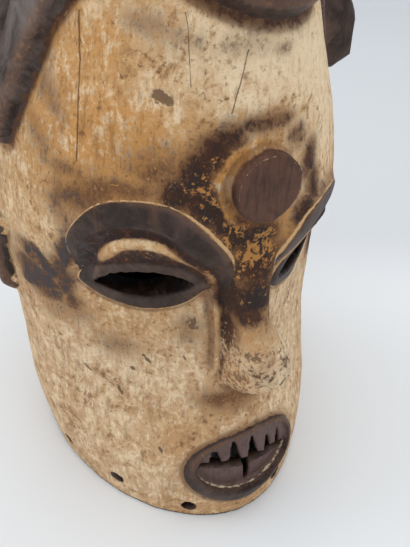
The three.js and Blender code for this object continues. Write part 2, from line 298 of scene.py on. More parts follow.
def ripple(size, seed):
    """Random swells about that many millimetres across, from -1 to 1, alike at both sides."""
    rows, columns = int(HEIGHTS[-1] / size) + 3, int(HALF_ROUND / size)
    grid = np.random.default_rng(seed).uniform(-1, 1, (rows, columns))
    r = np.linspace(0, rows - 1.001, X.shape[0])
    c = np.linspace(0, columns, X.shape[1])
    i, j = r.astype(int), c.astype(int)
    u, v = step(r - i, 0, 1)[:, None], step(c - j, 0, 1)
    j, k = j % columns, (j + 1) % columns
    low = grid[i][:, j] * (1 - v) + grid[i][:, k] * v
    high = grid[i + 1][:, j] * (1 - v) + grid[i + 1][:, k] * v
    return low * (1 - u) + high * u


FAR = 20.0
relief = np.zeros(X.shape)
dark = np.full(X.shape, -FAR)
smoke_and_shade = np.zeros(X.shape)
worn = np.zeros(X.shape)
print("four empty layers of", relief.size // 1000, "thousand cells each")

# %% [markdown]
# ## Brows and eyes
# Each brow is a dark band. The forehead sweeps up to its crisp upper edge, and its face slopes
# in to a crease over the eye. Below the crease a narrow fold runs over the eyelid and on down
# beside the nose. The eye is a slit that the wearer looks through, with a dark almond rim round
# it. The two sides aren't quite level, because they were carved by eye.

# %% Brow bands
BROW_ROUTES = [
    # across, height and half width along the middle of each band
    [(-77.5, 176, 1.6), (-77, 186, 2.2), (-75, 196, 3.2), (-70.5, 204.5, 4.3), (-65.5, 211, 5.2),
     (-60, 215.5, 6.0), (-52, 218.5, 6.4), (-44, 219.3, 6.6), (-36, 217, 7.0), (-29.3, 211.3, 6.8),
     (-23.3, 204.6, 6.4), (-17.6, 197.8, 5.8), (-14, 191, 5.0), (-12.3, 183, 4.2), (-11.3, 174, 3.4),
     (-10.5, 166, 2.4)],
    [(13, 163, 3.5), (14, 172, 4.4), (15.5, 181, 5.0), (18.5, 189, 5.6), (22.5, 195.5, 6.2),
     (28, 201, 6.6), (34.5, 205, 6.9), (43, 206.8, 6.8), (52, 206.8, 6.4), (61, 204.5, 6.0),
     (69, 198.5, 5.0), (75, 190, 4.0), (79, 179, 2.6), (80, 169, 1.6)],
]
BROW_PROUD = {"temple": 1.8, "nose": 4.0}
BROW_SWEEP = {"width": 9.0, "share": 0.75}
BROW_POINTS = 64
for route in BROW_ROUTES:
    away, along = from_line(face_line(route, BROW_POINTS))
    half = np.interp(along, np.linspace(0, 1, BROW_POINTS), smooth_line(route, BROW_POINTS)[:, 2])
    inward = along if route[0][0] < 0 else 1 - along
    ends = step(inward, 0.0, 0.12) * (0.25 + 0.75 * step(inward, 0.9, 0.72))
    upper_edge = step(away, half + 0.9, half - 0.7)
    sweep = np.clip((half + BROW_SWEEP["width"] - away) / BROW_SWEEP["width"], 0, 1) ** 2
    upper_edge = np.where(away > half, np.maximum(upper_edge, BROW_SWEEP["share"] * sweep), upper_edge)
    slope_in = 0.75 + 0.25 * step(away, -half, half)
    crease = step(away, -half - 5, -half)
    gain = BROW_PROUD["nose"] - BROW_PROUD["temple"]
    proud = BROW_PROUD["temple"] + gain * step(inward, 0.3, 0.62)
    relief += proud * upper_edge * slope_in * crease * ends
    narrowing = 3 * step(inward, 0.8, 0.95)
    dark = np.maximum(dark, np.minimum(half - 0.7 - away, half + 1.0 + away) - narrowing)
    # a pale line along the brow's upper edge, partly wear and partly a painted highlight
    strip = 0.5 + 0.5 * step(inward, 0.5, 0.65)
    strip *= step(np.abs(away - half), 6, 3) * step(inward, 0.02, 0.08) * step(inward, 0.84, 0.76)
    worn = np.maximum(worn, strip)
    smoke_and_shade += 0.5 * step(away, half + 15, half + 2) * step(away, 0, half) * step(inward, 0.0, 0.1)
    # painted shade: the brow's lower half and the crease under it are darkened
    smoke_and_shade += 0.95 * step(away, -half - 8, -half - 4) * step(away, half, 0) * step(inward, 0.92, 0.7)
print("the brows stand up to", round(float(relief.max()), 1), "mm proud")

# %% Fold over each eye, which runs on down beside the nose
FOLD = [
    # across and height along the fold over the right eye, from its outer end
    (-71.5, 167), (-69.4, 176), (-66, 187), (-62, 195), (-58, 200), (-53, 203), (-47.5, 204),
    (-42, 203.3), (-36, 201), (-29.5, 196), (-23.3, 189), (-18.8, 181), (-15.7, 172.5),
    (-13.7, 163), (-12.3, 154), (-11.3, 144), (-11, 133), (-11, 122), (-11.8, 113), (-14.5, 107.5),
]
FACE_MIDDLE, LEFT_EYE_DROP, FOLD_PROUD = 2.0, 8.0, 2.2
FOLD_POINTS, FOLD_REACH = 110, 22
for mirrored in (False, True):
    route = FOLD
    if mirrored:
        route = [(2 * FACE_MIDDLE - x, z - LEFT_EYE_DROP * float(step(z, 150, 185)))
                 for x, z in FOLD[::-1]]
    away, along = from_line(face_line(route, FOLD_POINTS), FOLD_REACH)
    near = np.abs(away) < FOLD_REACH
    beside = step(Z, 178, 162)
    lid_wall = np.clip(1 + away / 13, 0, 1) ** 2 * step(Z, 158, 178)
    inner = np.maximum(lid_wall, step(-away, 2.6, 0) * (0.3 + 0.7 * beside))
    fold = np.where(away > 0, step(away, 3.0, 0), inner)
    shape = FOLD_PROUD * fold - 1.0 * step(np.abs(away + 4.5), 4.5, 0) * beside
    shape -= 1.0 * step(np.abs(away - 5), 3.5, 0) * (1 - beside)
    fade = step(along, 0, 0.06) * step(along, 1, 0.92)
    relief += np.where(near, shape * fade, 0)
    # painted shade: the crease over the fold, the cheek side of the groove by the nose, a thin line on the
    # nose's side of it, and the lid under the fold are darkened
    in_crease = 0.9 * step(np.abs(away - 6), 4.2, 2.2) * (1 - beside)
    on_cheek = 0.4 * step(np.abs(away + 5), 5.5, 0.5) * beside
    by_nose = 0.4 * step(np.abs(away - 2.6), 1.4, 0.2) * beside
    on_lid = 0.75 * step(away, -1.0, -4.5) * step(Z, 172, 182)
    smoke_and_shade += np.where(near, (in_crease + on_cheek + by_nose) * fade + on_lid, 0)
print("the folds stand", FOLD_PROUD, "mm proud, and", len(FOLD), "points give their line")

# %% Eye rims
EYES = [
    {"across": -44.4, "height": 171.8, "slant": 13},
    {"across": 47.5, "height": 168.5, "slant": 11},
]
SLIT = {"half_length": 21.2, "above": 12.0, "below": 8.6}
RIM = {"half_length": 27.8, "above": 18.8, "below": 18.5}
RIM_PROUD = 2.6
for eye in EYES:
    where = (eye["across"], eye["height"])
    rim = almond(X, Z, *where, *RIM.values(), eye["slant"])
    slit = almond(X, Z, *where, *SLIT.values(), eye["slant"])
    rising = np.clip(-rim, 0, None) / (np.clip(-rim, 0, None) + np.clip(slit, 0, None) + 1e-6)
    relief += RIM_PROUD * (0.35 * step(rim, 0.4, -0.7) + 0.65 * rising)
    relief -= 0.8 * step(np.abs(rim - 2), 2.5, 0)
    dark = np.maximum(dark, 0.1 - rim)
    below = step(Z - eye["height"], 6, -4)
    worn = np.maximum(worn, 0.6 * below * step(np.abs(rim), 4, 2))
    smoke_and_shade += 0.5 * step(rim, 5, 0.5) * (1 - below) + 0.2 * step(rim, 7, 1)
print("the eye slits are", 2 * SLIT["half_length"], "mm long, in rims", 2 * RIM["half_length"], "mm long")

# %% [markdown]
# ## Nose, disc and mouth
# The nose is a ridge that widens into a broad rounded tip, and its chalk is rubbed and spotted
# there. The disc on the forehead is a raised coin of wood whose face is slightly hollow from
# side to side. The mouth is a raised oval lip, cut through so that the teeth stand free in it.

# %% Nose
NOSE = {"root": 192.0, "bottom": 103.5, "left": -8.2, "right": 13.2, "tip_right": 24.0}
NOSE_PROUD = {"root": 5.0, "tip": 30.0}
down = (NOSE["root"] - Z) / (NOSE["root"] - NOSE["bottom"])
tip = step(down, 0.37, 0.72)
flare = step(Z, 150, 190)
left = NOSE["left"] - 5.5 * flare
right = NOSE["right"] + (NOSE["tip_right"] - NOSE["right"]) * tip + 3.0 * flare
from_ridge = np.abs(2 * X - left - right) / (right - left)
rise = NOSE_PROUD["root"] + (NOSE_PROUD["tip"] - NOSE_PROUD["root"]) * step(down, -0.2, 0.85)
under = np.sqrt(np.clip(1 - np.clip((down - 0.79) / 0.21, 0, 1) ** 2, 0, 1))
nose = rise * np.clip(1 - from_ridge ** (2.3 + 0.9 * tip), 0, 1) * under * step(down, -0.15, 0.1)
carved_away = relief * step(from_ridge, 0.55, 1)
relief = np.where(from_ridge < 1, np.maximum(carved_away, nose), relief)
# painted shade: a thin dark line along the foot of the nose's sides
smoke_and_shade += 0.5 * step(np.abs(from_ridge - 1), 0.08, 0) * step(down, 0.1, 0.3) * step(down, 1.02, 0.98)
nose_skin = step(from_ridge, 1.3, 0.95) * step(down, 0.28, 0.62) * step(down, 1.02, 1.0)
print("the nose stands", round(float(nose.max()), 1), "mm proud of the plain form")

# %% Disc on the forehead
DISC = {"across": 2.4, "height": 231.8, "half_width": 15.2, "half_height": 16.4}
DISC_PROUD = 5.5
disc_gap, disc_turn = oval(*DISC.values())
bow = 2.4 * ((X - DISC["across"]) / DISC["half_width"]) ** 2
relief += (DISC_PROUD + np.clip(bow, 0, 2.6)) * step(disc_gap, 0.6, -0.7)
disc = np.clip(-disc_gap, -FAR, FAR)
# a pale line round the disc's upper left and its right, partly wear and partly a painted highlight
upper_left = step(np.cos(disc_turn - math.radians(135)), 0.1, 0.7)
to_right = step(np.cos(disc_turn - math.radians(10)), 0.5, 0.9)
worn = np.maximum(worn, (0.25 * upper_left + 0.3 * to_right) * step(np.abs(disc_gap), 4, 2))
print("the disc is", 2 * DISC["half_width"], "by", 2 * DISC["half_height"], "mm")

# %% Lips
LIP_FOOT = {"across": 5.0, "height": 41.5, "half_width": 38.2, "half_height": 26.8}
LIP_CREST = {"across": 5.6, "height": 46.7, "half_width": 33.7, "half_height": 20.2}
LIP_PROUD = {"above": 3.2, "below": 6.2}
foot, _ = oval(*LIP_FOOT.values())
crest, lip_turn = oval(*LIP_CREST.values())
rising = np.clip(-foot, 0, None) / (np.clip(-foot, 0, None) + np.clip(crest, 0, None) + 1e-6)
upper_lip = 0.5 + 0.5 * np.sin(lip_turn)
lip_proud = LIP_PROUD["below"] + (LIP_PROUD["above"] - LIP_PROUD["below"]) * upper_lip
relief += lip_proud * (0.35 * step(foot, 0.4, -0.7) + 0.65 * rising ** 0.85)
dark = np.maximum(dark, 0.4 - foot)
smoke_and_shade += 0.4 * step(foot, 7, 0)
print("the lips are", 2 * LIP_FOOT["half_width"], "mm wide and", 2 * LIP_FOOT["half_height"], "mm high")

# %% [markdown]
# ## Hair, ears and temple marks
# The hair is a cap whose thick edge steps down to the forehead, dips to a point in the middle
# and ends in a lappet over each temple. The ears are low curls far round on the sides. Two dark
# wedges spread from the outer corner of each eye like a fish's tail, with a ridge between them.

# %% Edge of the hair
HAIR_FOOT = [
    # turn in degrees and height along the foot of the step
    (-73.5, 229), (-68, 262), (-61, 293), (-49, 311), (-34, 315), (-18, 305), (-5, 299.5),
    (6, 298), (22, 300), (38, 310), (52, 307), (62, 291), (69, 262), (72.5, 241),
]
HAIR = {"band": 25.0, "proud": 9.5, "reach": 70}
hair, along = from_line(turn_line(HAIR_FOOT, 110), HAIR["reach"])
front_edge = step(hair, -0.6, 0.9)
roll_top = 0.88 + 0.12 * step(hair, 0, 7)
rear = 0.2 + 0.8 * step(hair, HAIR["band"] + 4, HAIR["band"] - 3)
ends = step(along, -0.002, 0.01) * step(1 - along, -0.002, 0.01)
cap_edge = step(hair, 66, 45)
near = np.abs(hair) < HAIR["reach"] - 1
relief += np.where(near, HAIR["proud"] * front_edge * roll_top * rear * ends * cap_edge, 0)
dark = np.maximum(dark, np.where((ends > 0.1) & near, hair + 0.7, -FAR))
dark = np.maximum(dark, np.minimum(Z - 236, np.abs(TURN_DEGREES) - 82))
smoke_and_shade += 0.75 * step(hair, -11, -0.5) * step(hair, 3, 0) * ends
print("the hair's edge stands", HAIR["proud"], "mm proud in a band", HAIR["band"], "mm wide")

# %% Ears
EAR = {"turn": 80, "half_width": 5.6, "height": 157, "half_height": 20, "arc": 112, "proud": 9.0}
EAR_HALF_BAND, EAR_PAINT = 4.8, 5.5
for side in (-1, 1):
    angle = np.radians(np.linspace(-EAR["arc"], EAR["arc"], 20))
    turns = side * (EAR["turn"] + EAR["half_width"] * np.cos(angle))
    heights = EAR["height"] + EAR["half_height"] * np.sin(angle) * side
    ear, along = from_line(turn_line(np.stack([turns, heights], 1), 60), 16)
    fade = step(np.minimum(along, 1 - along), 0, 0.12)
    relief += EAR["proud"] * np.clip(1 - (ear / EAR_HALF_BAND) ** 2, 0, 1) ** 0.5 * fade
    dark = np.maximum(dark, EAR_PAINT * fade - np.abs(ear))
print("the ears are about", 2 * EAR["half_height"], "mm high")

# %% Temple marks
WEDGES = [
    # across and height of the corners, on the mask's right
    [(-93, 180), (-89, 181), (-85, 174), (-79, 165), (-81, 160), (-87, 166)],
    [(-97, 170), (-97, 148), (-88, 150), (-79, 154), (-84, 162)],
]
TEMPLE_RIDGE = [(80, 159), (88, 166), (95, 174)]
RIDGE_PROUD = 1.2
for side in (-1, 1):
    ridge, along = from_line(face_line([(side * x, z) for x, z in TEMPLE_RIDGE]), 12)
    relief += RIDGE_PROUD * step(np.abs(ridge), 2.6, 0.6) * step(along, 0, 0.15) * step(along, 1, 0.9)
    for wedge in WEDGES:
        gap = outline_distance(-side * X, Z, np.array(wedge, float))
        smoke_and_shade += 0.8 * step(gap, 2.5, -2.0)
print("the carving stands up to", round(float(relief.max()), 1), "mm proud of the plain form")

# %% [markdown]
# ## Smoke, knocks and worn spots
# The chalked face has darkened unevenly: soot has settled beside the disc, down the bridge of
# the nose and along the hair, and the forehead has gone ochre. A few knocks have dented the
# cheeks. These are large soft patches here, placed from the photograph, and the paint's
# own pattern breaks their edges up later on.

# %% Where the smoke, the ochre and the pale spots lie
SMOKE_PATCHES = [
    # across, height, half width, half height, slant, strength
    (-13, 254, 7, 8, -40, 0.85),
    (-20, 248, 9, 12, -30, 1.0),
    (-26, 239, 9, 13, -10, 1.0),
    (-30, 229, 13, 9, 0, 1.0),
    (-21, 222, 11, 8, -25, 1.0),
    (-12, 213, 12, 8, -35, 1.0),
    (-2, 206, 16, 10, 0, 1.0),
    (1, 193, 14, 12, 0, 1.0),
    (1, 178, 13, 13, 0, 1.0),
    (-4, 169, 9, 11, 0, 1.0),
    (-10, 174, 6, 14, 0, 1.0),
    (-7.5, 148, 3, 13, 0, 0.85),
    (4, 157, 10, 8, 0, 0.4),
    (16, 121, 6, 8, -20, 0.75),
    (19, 113, 5, 5, 0, 0.85),
    (3, 127, 4, 7, 20, 0.6),
    (11, 132, 6, 5, 0, 0.55),
    (-1, 111, 5, 5, 0, 0.6),
    (-44, 186, 28, 9, 8, 0.75),
    (-57, 122, 12, 10, 0, 0.5),
    (4, 259.5, 15, 6, 0, 0.72),
    (20, 250, 9, 7, -35, 0.6),
    (30, 236, 7, 12, 0, 0.8),
    (35, 223, 7, 10, 10, 0.85),
    (28, 210, 9, 10, 0, 0.9),
    (-36, 238, 20, 14, 0, 0.6),
    (-46, 229, 28, 8, 6, 0.62),
    (-66, 222, 17, 11, 35, 0.7),
    (-76, 184, 5, 14, -5, 0.95),
    (-79, 164, 7, 16, 5, 0.75),
    (-86, 150, 9, 9, 20, 0.75),
    (-76, 147, 7, 8, 0, 0.7),
    (-91, 172, 6, 10, 20, 0.7),
    (-94, 160, 5, 11, 0, 0.75),
    (-79, 140, 15, 11, 0, 0.45),
    (77, 166, 6, 16, -5, 0.8),
    (80, 147, 9, 11, -20, 0.8),
    (-33, 293, 16, 8, -20, 0.45),
    (-8, 290, 14, 7, 10, 0.45),
    (9, 287, 6, 4, 0, 0.55),
    (-72, 231, 8, 6, 0, 0.6),
    (-73, 264, 6, 14, 10, 0.45),
    (-79, 240, 5, 14, 0, 0.45),
    (-75, 205, 7, 16, 20, 0.55),
    (-24, 142, 9, 13, 0, 0.5),
    (2, 92, 26, 11, 0, 0.6),
]
OCHRE_PATCHES = [
    # the same six values as above
    (-52, 250, 34, 24, 20, 1.0),
    (-28, 262, 34, 22, 0, 0.85),
    (-62, 226, 22, 14, 10, 0.9),
    (-68, 285, 12, 26, 15, 0.7),
    (-5, 240, 30, 34, 0, 1.0),
    (-20, 6, 30, 10, 0, 0.8),
    (22, 8, 26, 9, 0, 0.7),
    (3, 90, 24, 12, 0, 1.0),
    (-34, 66, 20, 20, 0, 0.8),
    (-1, 205, 26, 22, 0, 1.0),
    (0, 146, 12, 14, 0, 0.7),
    (-5, 116, 6, 14, 0, 1.3),
    (-52, 284, 18, 18, 0, 0.8),
    (-46, 196, 26, 9, 10, 0.3),
    (-62, 138, 26, 18, 0, 0.7),
    (30, 180, 60, 16, 0, 0.5),
]
PALE_PATCHES = [
    # the same six values as above
    (6, 280, 40, 22, 0, 1.7),
    (40, 262, 22, 38, 10, 1.4),
    (-26, 290, 18, 9, -10, 0.4),
    (-70, 112, 16, 24, 10, 0.5),
    (-38, 104, 20, 18, 0, 0.5),
    (-60, 60, 22, 30, 0, 0.4),
    (46, 110, 30, 50, 0, 0.5),
    (12, 128, 12, 18, 0, 1.2),
]
KNOCKS = [
    # across, height, half width, half height, slant, depth
    (-59, 89, 0.9, 4.2, 12, 1.0),
    (-73, 99, 0.8, 3.4, 40, 0.8),
    (-44, 116, 0.9, 3.8, 35, 0.9),
    (-51, 107, 1.6, 1.5, 0, 0.8),
    (-44, 56, 1.4, 2.6, 10, 0.8),
    (-22, 146, 1.7, 4.6, -12, 0.9),
    (-26, 121, 0.8, 3.2, 18, 0.6),
    (-37, 269, 4.2, 3.0, -30, 0.8),
    (52, 128, 1.0, 3.5, -20, 0.8),
    (38, 86, 1.2, 2.8, 15, 0.7),
]


def patches(rows, softness=1.1):
    """The strongest of several soft ovals at each cell."""
    total = np.zeros(X.shape)
    for across, height, half_width, half_height, slant, strength in rows:
        gap, _ = oval(across, height, half_width, half_height, slant)
        soft = softness * min(half_width, half_height)
        total = np.maximum(total, strength * step(gap, soft, -soft))
    return total


smoke_and_shade = np.clip(np.maximum(smoke_and_shade, patches(SMOKE_PATCHES)), 0, 1)
beside_disc = step(np.cos(disc_turn - math.radians(160)), -0.1, 0.5)
ring = step(np.abs(disc_gap - 3.2 - 3.2 * ripple(7, 11)), 2.2, 0.6) * beside_disc
smoke_and_shade *= 1 - 0.75 * ring
ochre = patches(OCHRE_PATCHES) - patches(PALE_PATCHES) + 0.8 * ring
knock = np.maximum(patches([row[:5] + (1.0,) for row in KNOCKS], 0.7), 0.5 * nose_skin)
print("cells with smoke:", round(100 * float((smoke_and_shade > 0.3).mean())), "percent")

# %% [markdown]
# The adze and the knife leave slow swells on the wood, outside and, coarser, inside. Crevices
# are painted darker, partly as grime and partly as painted shade, and what stands out is painted
# paler, partly as rubbing and partly as a painted highlight, so both have to be found. A crevice
# is where the relief lies below a blurred copy of itself, and a crest is where it lies above.

# %% Tool marks, dents and crevices
def blurred(layer, cells):
    """A layer averaged over a few cells each way, three times."""
    for _ in range(3):
        for axis in (0, 1):
            pad = [(cells, cells) if k == axis else (0, 0) for k in range(2)]
            total = np.cumsum(np.pad(layer, pad, mode="edge"), axis=axis)
            ahead = np.take(total, range(2 * cells, total.shape[axis]), axis)
            behind = np.take(total, range(0, total.shape[axis] - 2 * cells), axis)
            layer = (ahead - behind) / (2 * cells)
    return layer


for row in KNOCKS:
    relief -= patches([row], 0.8)
relief += 0.35 * ripple(13, 3) + 0.16 * ripple(6, 4)
adze = 1.1 * ripple(16, 5) + 0.5 * ripple(8, 6)
crevice = np.clip((blurred(relief, 4) - relief) / 1.2, -1, 1) * (1 - 0.85 * nose_skin)
print("cells in a crevice:", round(100 * float((crevice > 0.3).mean())), "percent")

# %% [markdown]
# ## From the map to a solid
# A grid of cells round the front half now gets each cell's distance from the carved surface:
# the distance from the plain form, less the relief found on the map beneath it. The cavity is
# the same form one wall smaller, roughly hollowed out with an adze. Both faces are carved
# alike, so the rear half is the front half turned half round.

# %% The grid, and how the map is sampled
CELL = 1.4
CELLS = {"each_side": 93, "forward": 108, "up": 256, "below_rim": 1.5}
STEEPEST, SKIN_REACH = 6, 14
xs = (np.arange(2 * CELLS["each_side"] + 1) - CELLS["each_side"]) * CELL
ys = -np.arange(CELLS["forward"] + 1) * CELL
zs = np.arange(CELLS["up"]) * CELL - CELLS["below_rim"] * CELL


def sample(layers, turn, height):
    """The value of several map layers at turns and heights, blended between cells."""
    c = np.clip((turn - TURNS[0]) / (TURNS[1] - TURNS[0]), 0, len(TURNS) - 1.001)
    r = np.clip(height / MAP["row_height"], 0, len(HEIGHTS) - 1.001)
    i, j = r.astype(np.int32), c.astype(np.int32)
    u, v = (r - i).astype(np.float32), (c - j).astype(np.float32)
    found = []
    for layer in layers:
        flat = layer.astype(np.float32).ravel()
        at = i * len(TURNS) + j
        low = flat[at] * (1 - v) + flat[at + 1] * v
        high = flat[at + len(TURNS)] * (1 - v) + flat[at + len(TURNS) + 1] * v
        found.append(low * (1 - u) + high * u)
    return found


def carved_distance(x, y, z, layers, inset=0.0, shape=CROWN):
    """True distance outside the plain form, and the layers' values at the spot beneath."""
    away, turn = plain_form(x, y, z, inset, shape)
    above, _ = plain_form(x, y, z + 1, inset, shape)
    below, _ = plain_form(x, y, z - 1, inset, shape)
    lean = np.clip((above - below) / 2, -STEEPEST, STEEPEST)
    true = away / np.sqrt(1 + lean ** 2)
    foot = z - np.clip(true, -SKIN_REACH, SKIN_REACH) * lean / np.sqrt(1 + lean ** 2)
    return true, sample(layers, turn, foot)


print("the grid is", len(xs), "by", len(ys), "by", len(zs), "cells of", CELL, "mm")

# %% The carved log and its hollow
LOG_TOP, HOLLOW_TOP = 340, 309
grid_x, grid_y, grid_z = xs[:, None, None], ys[None, :, None], zs[None, None, :]
outside, (proud,) = carved_distance(grid_x, grid_y, grid_z, [relief])
wood = np.maximum(outside - proud, grid_z - LOG_TOP)
inside, (rough,) = carved_distance(grid_x, grid_y, grid_z, [adze], WALL, CAVITY)
hollow = np.maximum(inside - rough, grid_z - HOLLOW_TOP)
carved = np.maximum(wood, -hollow) < 0
print("the carved log, less its hollow, fills", round(100 * float(carved.mean())), "percent of the grid")

# %% [markdown]
# ## Crest, eye slits, mouth and holes
# A low crest runs over the crown from side to side and swells into a chamfered lobe over each
# temple. It could be a second object, but then a seam would show where the real one has none.
# So it is a distance too, and the two are merged with a small fillet, as a knife leaves.

# %% Crest
CREST = {"half_thickness": 17.0, "round": 3.5, "top": 349.8, "fillet": 3.0}
LOBE_TIP, LOBE_SHOULDER = (124.3, 270), (92, 304)


def bent(start, control, end, count=8):
    """Points on a simple curve from start to end, pulled towards a control point."""
    t = np.linspace(0, 1, count)[:, None]
    start, control, end = map(np.array, (start, control, end))
    return (1 - t) ** 2 * start + 2 * t * (1 - t) * control + t * t * end


crest_outline = np.concatenate([
    # across and height: the foot and the chamfer of the lobe, its end, and the smooth top
    [(0, 246), (70, 246), (110.5, 242.5), (124.3, 249.5)],
    bent(LOBE_TIP, (121.5, 287), LOBE_SHOULDER),
    bent(LOBE_SHOULDER, (46, CREST["top"]), (0, CREST["top"])),
])


def crest_distance(x, y, z):
    """Distance outside the crest, with its long edges rounded."""
    flat = outline_distance(np.abs(x), z, crest_outline) + CREST["round"]
    flat = np.where(np.abs(x) < 3, np.maximum(flat, z - CREST["top"] + CREST["round"]), flat)
    thick = np.abs(y) - CREST["half_thickness"] + CREST["round"]
    outer = np.hypot(np.maximum(flat, 0), np.maximum(thick, 0))
    return outer + np.minimum(np.maximum(flat, thick), 0) - CREST["round"]


def merged(a, b, blend):
    """The union of two solids with a fillet of about that many millimetres."""
    share = np.clip(0.5 + 0.5 * (b - a) / blend, 0, 1)
    return b * (1 - share) + a * share - blend * share * (1 - share)


wood = merged(wood, crest_distance(grid_x, grid_y, grid_z), CREST["fillet"])
solid = np.maximum(np.maximum(wood, -hollow), -grid_z)
print("the crest is", 2 * CREST["half_thickness"], "mm thick and", 2 * LOBE_TIP[0], "mm from lobe to lobe")

# %% [markdown]
# The eye slits and the mouth go right through the wall. A solid with a hole in it is the greater
# of two distances, the solid's own and the hole's with its sign changed.

# %% Eye slits and mouth
def oval_gap(x, z, across, height, half_width, half_height):
    """Distance outside an oval, from plain coordinates."""
    u, v = (x - across) / half_width, (z - height) / half_height
    ring = np.hypot(u, v)
    return (ring - 1) * ring / (np.hypot(u / half_width, v / half_height) + 1e-9)


for eye in EYES:
    slit = almond(grid_x, grid_z, eye["across"], eye["height"], *SLIT.values(), eye["slant"])
    solid = np.maximum(solid, -slit - 0 * grid_y)
LIP_INSET = 0.9
opening = oval_gap(grid_x, grid_z, *LIP_CREST.values()) + LIP_INSET
solid = np.maximum(solid, -opening - 0 * grid_y)
print("the mouth opens", round(2 * (LIP_CREST["half_width"] - LIP_INSET), 1), "mm wide")

# %% [markdown]
# The upper teeth hang in a row, cut apart by notches of uneven width. They are wood left
# standing inside the lip, so they are a slab that follows the face's curve. Its lower edge is a
# line of a few points, and above that line all is wood.

# %% Upper teeth
TOOTH_ROW = [
    # across and height along the lower edge of the row: a tooth's end, then a notch, and so on
    (-30, 51), (-19.2, 51.5), (-17.6, 58.5), (-14.2, 59.5), (-12.6, 52.0), (-7.4, 51.0),
    (-6.0, 60.0), (-3.6, 65.0), (-1.9, 60.0), (-0.5, 51.0), (4.9, 49.6), (6.3, 58.0),
    (8.6, 63.0), (10.4, 57.5), (11.8, 49.4), (17.4, 47.2), (18.6, 54.0), (20.2, 59.0),
    (21.2, 54.0), (22.4, 47.6), (26.6, 45.6), (27.8, 51.0), (29.4, 55.0), (30.6, 44.0), (36.0, 41.5),
]
TOOTH_FACE, TOOTH_BACK = 2.2, -6.5
row_x, row_z = np.array(TOOTH_ROW).T
row_edge = np.interp(xs, row_x, row_z)[:, None, None]
slope = np.gradient(np.interp(xs, row_x, row_z), CELL)[:, None, None]
slab = np.abs(outside - (TOOTH_FACE + TOOTH_BACK) / 2) - (TOOTH_FACE - TOOTH_BACK) / 2
FRONT = -60
INTO_LIP = 3
teeth = np.maximum((row_edge - grid_z) / np.sqrt(1 + np.clip(slope, -4, 4) ** 2), slab)
teeth = np.maximum(teeth, opening - INTO_LIP)
solid = np.where(grid_y < FRONT, np.minimum(solid, teeth), solid)
print("the teeth are", round(TOOTH_FACE - TOOTH_BACK, 1), "mm thick")

# %% [markdown]
# Below them one block of wood was never cut into teeth. It lies a little further back, its top
# slopes down to the mask's left, and a narrow chip is out of it.

# %% Lower block
BLOCK_TOP = [(-28, 46.8), (-13, 44.8), (0, 42.5), (16, 40.5), (28, 37.5), (38, 34.5)]
BLOCK_SET_BACK = 2.4
block_x, block_z = np.array(BLOCK_TOP).T
block_top = np.interp(xs, block_x, block_z)[:, None, None]
CHIP = {"across": 4.2, "half_width": 1.9, "depth": 17}
chip = np.hypot((grid_x - CHIP["across"]) / CHIP["half_width"], (grid_z - block_top) / CHIP["depth"]) - 1
lower_edge = 1.2 * step(grid_z, 38, 27)
block_face = np.maximum(outside - TOOTH_FACE + BLOCK_SET_BACK, TOOTH_BACK - outside)
block = np.maximum(grid_z - block_top + 0.35 * (outside - TOOTH_FACE), block_face + lower_edge)
block = np.maximum(np.maximum(block, opening - INTO_LIP), -chip * CHIP["half_width"])
solid = np.where(grid_y < FRONT, np.minimum(solid, block), solid)
print("the block's top falls", round(BLOCK_TOP[0][1] - BLOCK_TOP[-1][1], 1), "mm from right to left")

# %% [markdown]
# Small round holes above the rim took the cords of a fibre fringe. Some are burnt straight back
# through the front and some straight in from the side.

# %% Holes for the cords
HOLE_RADIUS = 3.5
HOLE_START = {"front": 70, "side": 45}
HOLES = [
    # the way it was burnt, its place across that way, its height, and which side
    ("front", 31.3, 10.0, -1), ("front", 31.3, 10.0, 1),
    ("side", -85.5, 17.0, -1), ("side", -85.5, 17.0, 1),
    ("side", -40.7, 15.0, -1), ("side", -40.7, 15.0, 1),
]
for through, place, height, side in HOLES:
    if through == "front":
        bore = np.hypot(grid_x - side * place, grid_z - height)
        before = grid_y + HOLE_START["front"]
    else:
        bore = np.hypot(grid_y - place, grid_z - height)
        before = HOLE_START["side"] - side * grid_x
    solid = np.maximum(solid, -np.maximum(bore - HOLE_RADIUS, before))
litres = float((solid < 0).sum()) * CELL ** 3 / 1e6
print(len(HOLES), "holes in this half, which holds", round(litres, 2), "litres of wood")

# %% [markdown]
# ## One mesh
# The front half and its turned copy are joined, with the seam between them averaged so that it
# doesn't show, and the surface where the distance is zero is meshed. OpenVDB does this in one
# step, and Blender brings it along.

# %% Meshing
BAND = 3.0
solid = solid.astype(np.float32)
solid[:, 0] = (solid[:, 0] + solid[::-1, 0]) / 2
whole = np.concatenate([solid[:, ::-1], solid[::-1, 1:]], axis=1)
grid = openvdb.FloatGrid(BAND)
grid.copyFromArray(np.clip(whole, -BAND, BAND))
points, triangles, quads = grid.convertToPolygons(0.0, 0.0)
points = points * CELL + np.array([xs[0], ys[-1], zs[0]])
faces = [tuple(q) for q in quads.tolist()] + [tuple(t) for t in triangles.tolist()]
a, b, c = (points[quads[:, k]] for k in range(3))
turned = (np.cross(b - a, c - a) * a).sum() < 0
if turned:
    faces = [face[::-1] for face in faces]
raw = bpy.data.meshes.new("helmet_mask_raw")
raw.from_pydata((points * MM).tolist(), [], faces)
raw.update()
print("meshed with", len(points), "points and", len(faces), "faces; turned:", turned)

# %% [markdown]
# The mesh is then thinned with a decimate modifier, which a vertex group steers. The front face
# is thinned least, because its fine carving needs small triangles, and the inside most. The
# plain sides keep some as well, because the paint is stored on the mesh's points and its edges
# would smear across large triangles.

